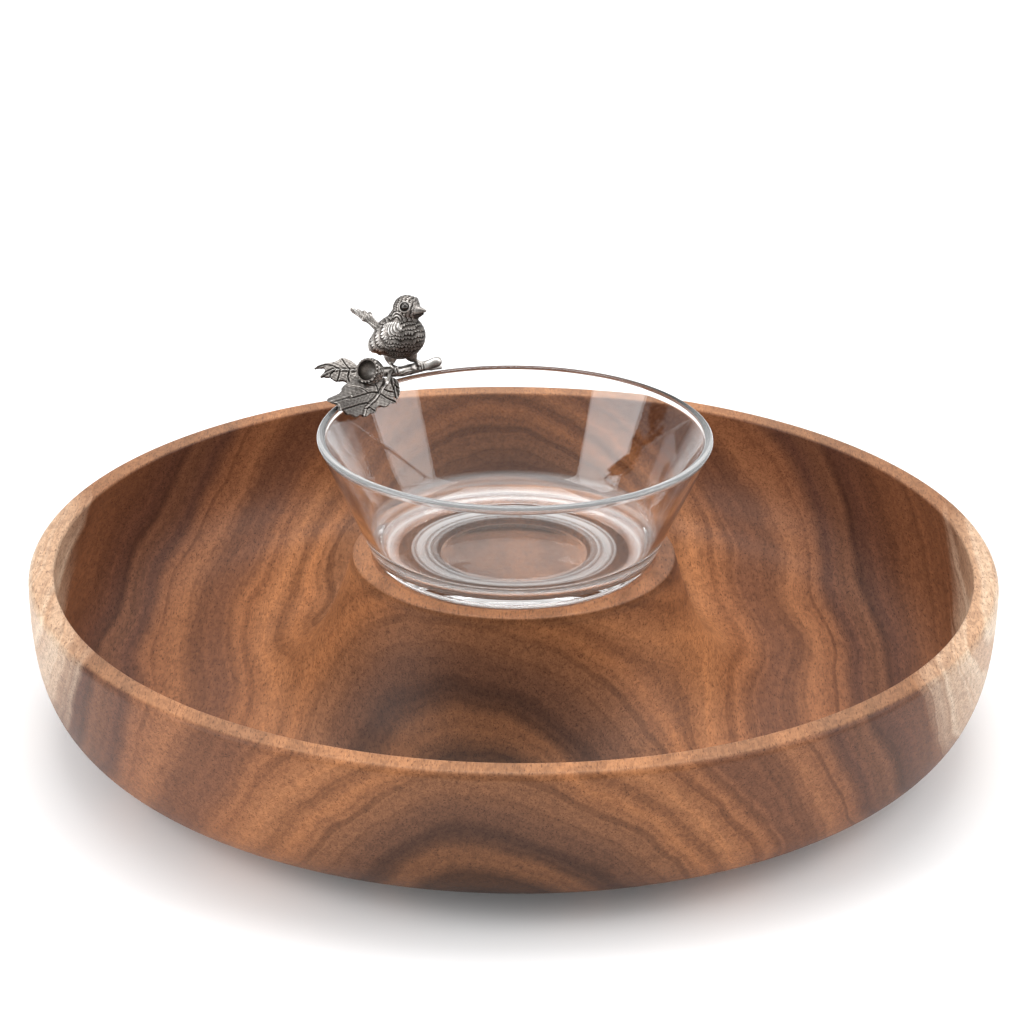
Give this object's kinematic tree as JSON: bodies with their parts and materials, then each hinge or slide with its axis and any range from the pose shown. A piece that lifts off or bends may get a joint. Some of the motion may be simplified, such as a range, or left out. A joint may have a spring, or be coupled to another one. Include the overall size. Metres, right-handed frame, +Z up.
{
  "type": "chip and dip server",
  "caption": "Round turned wooden chip tray with a central pedestal that seats a removable flared glass dip bowl with a cast songbird-on-branch rim ornament.",
  "frame": {"origin": "centre of the tray's underside, on the table", "axes": "+Z up; the serving side faces -Y and the ornament stands at the back left, towards -X and +Y"},
  "size_m": [0.4064, 0.4064, 0.1613],
  "materials": {
    "wood": "oiled flat-sawn hardwood with pale sapwood at two sides, satin",
    "glass": "clear polished",
    "pewter": "antiqued cast pewter, dark in the recesses and burnished on the highs",
    "pewter_dark": "blackened and polished bead",
    "liner": "soft clear vinyl"
  },
  "bodies": {
    "tray": {"wood_tray": "wood"},
    "bowl": {"glass_bowl": "glass"},
    "ornament": {"rim_clip": "pewter", "clip_liner": "liner", "rim_oak_leaf": "pewter", "left_oak_leaf": "pewter", "small_oak_leaf": "pewter", "branch": "pewter", "branch_spur": "pewter", "acorn_cup": "pewter", "bird_body": "pewter", "bird_eyes": "pewter_dark", "bird_right_wing": "pewter", "bird_left_wing": "pewter", "bird_tail": "pewter", "bird_right_leg": "pewter", "bird_left_leg": "pewter"}
  },
  "joints": [
    {"name": "bowl_lift", "type": "slide", "parent": "tray", "child": "bowl", "axis": [0, 0, 1], "range_m": [0, 0.12]},
    {"name": "ornament_lift", "type": "slide", "parent": "bowl", "child": "ornament", "axis": [-0.3243, 0.2534, 0.9114], "range_m": [0, 0.05]}
  ]
}
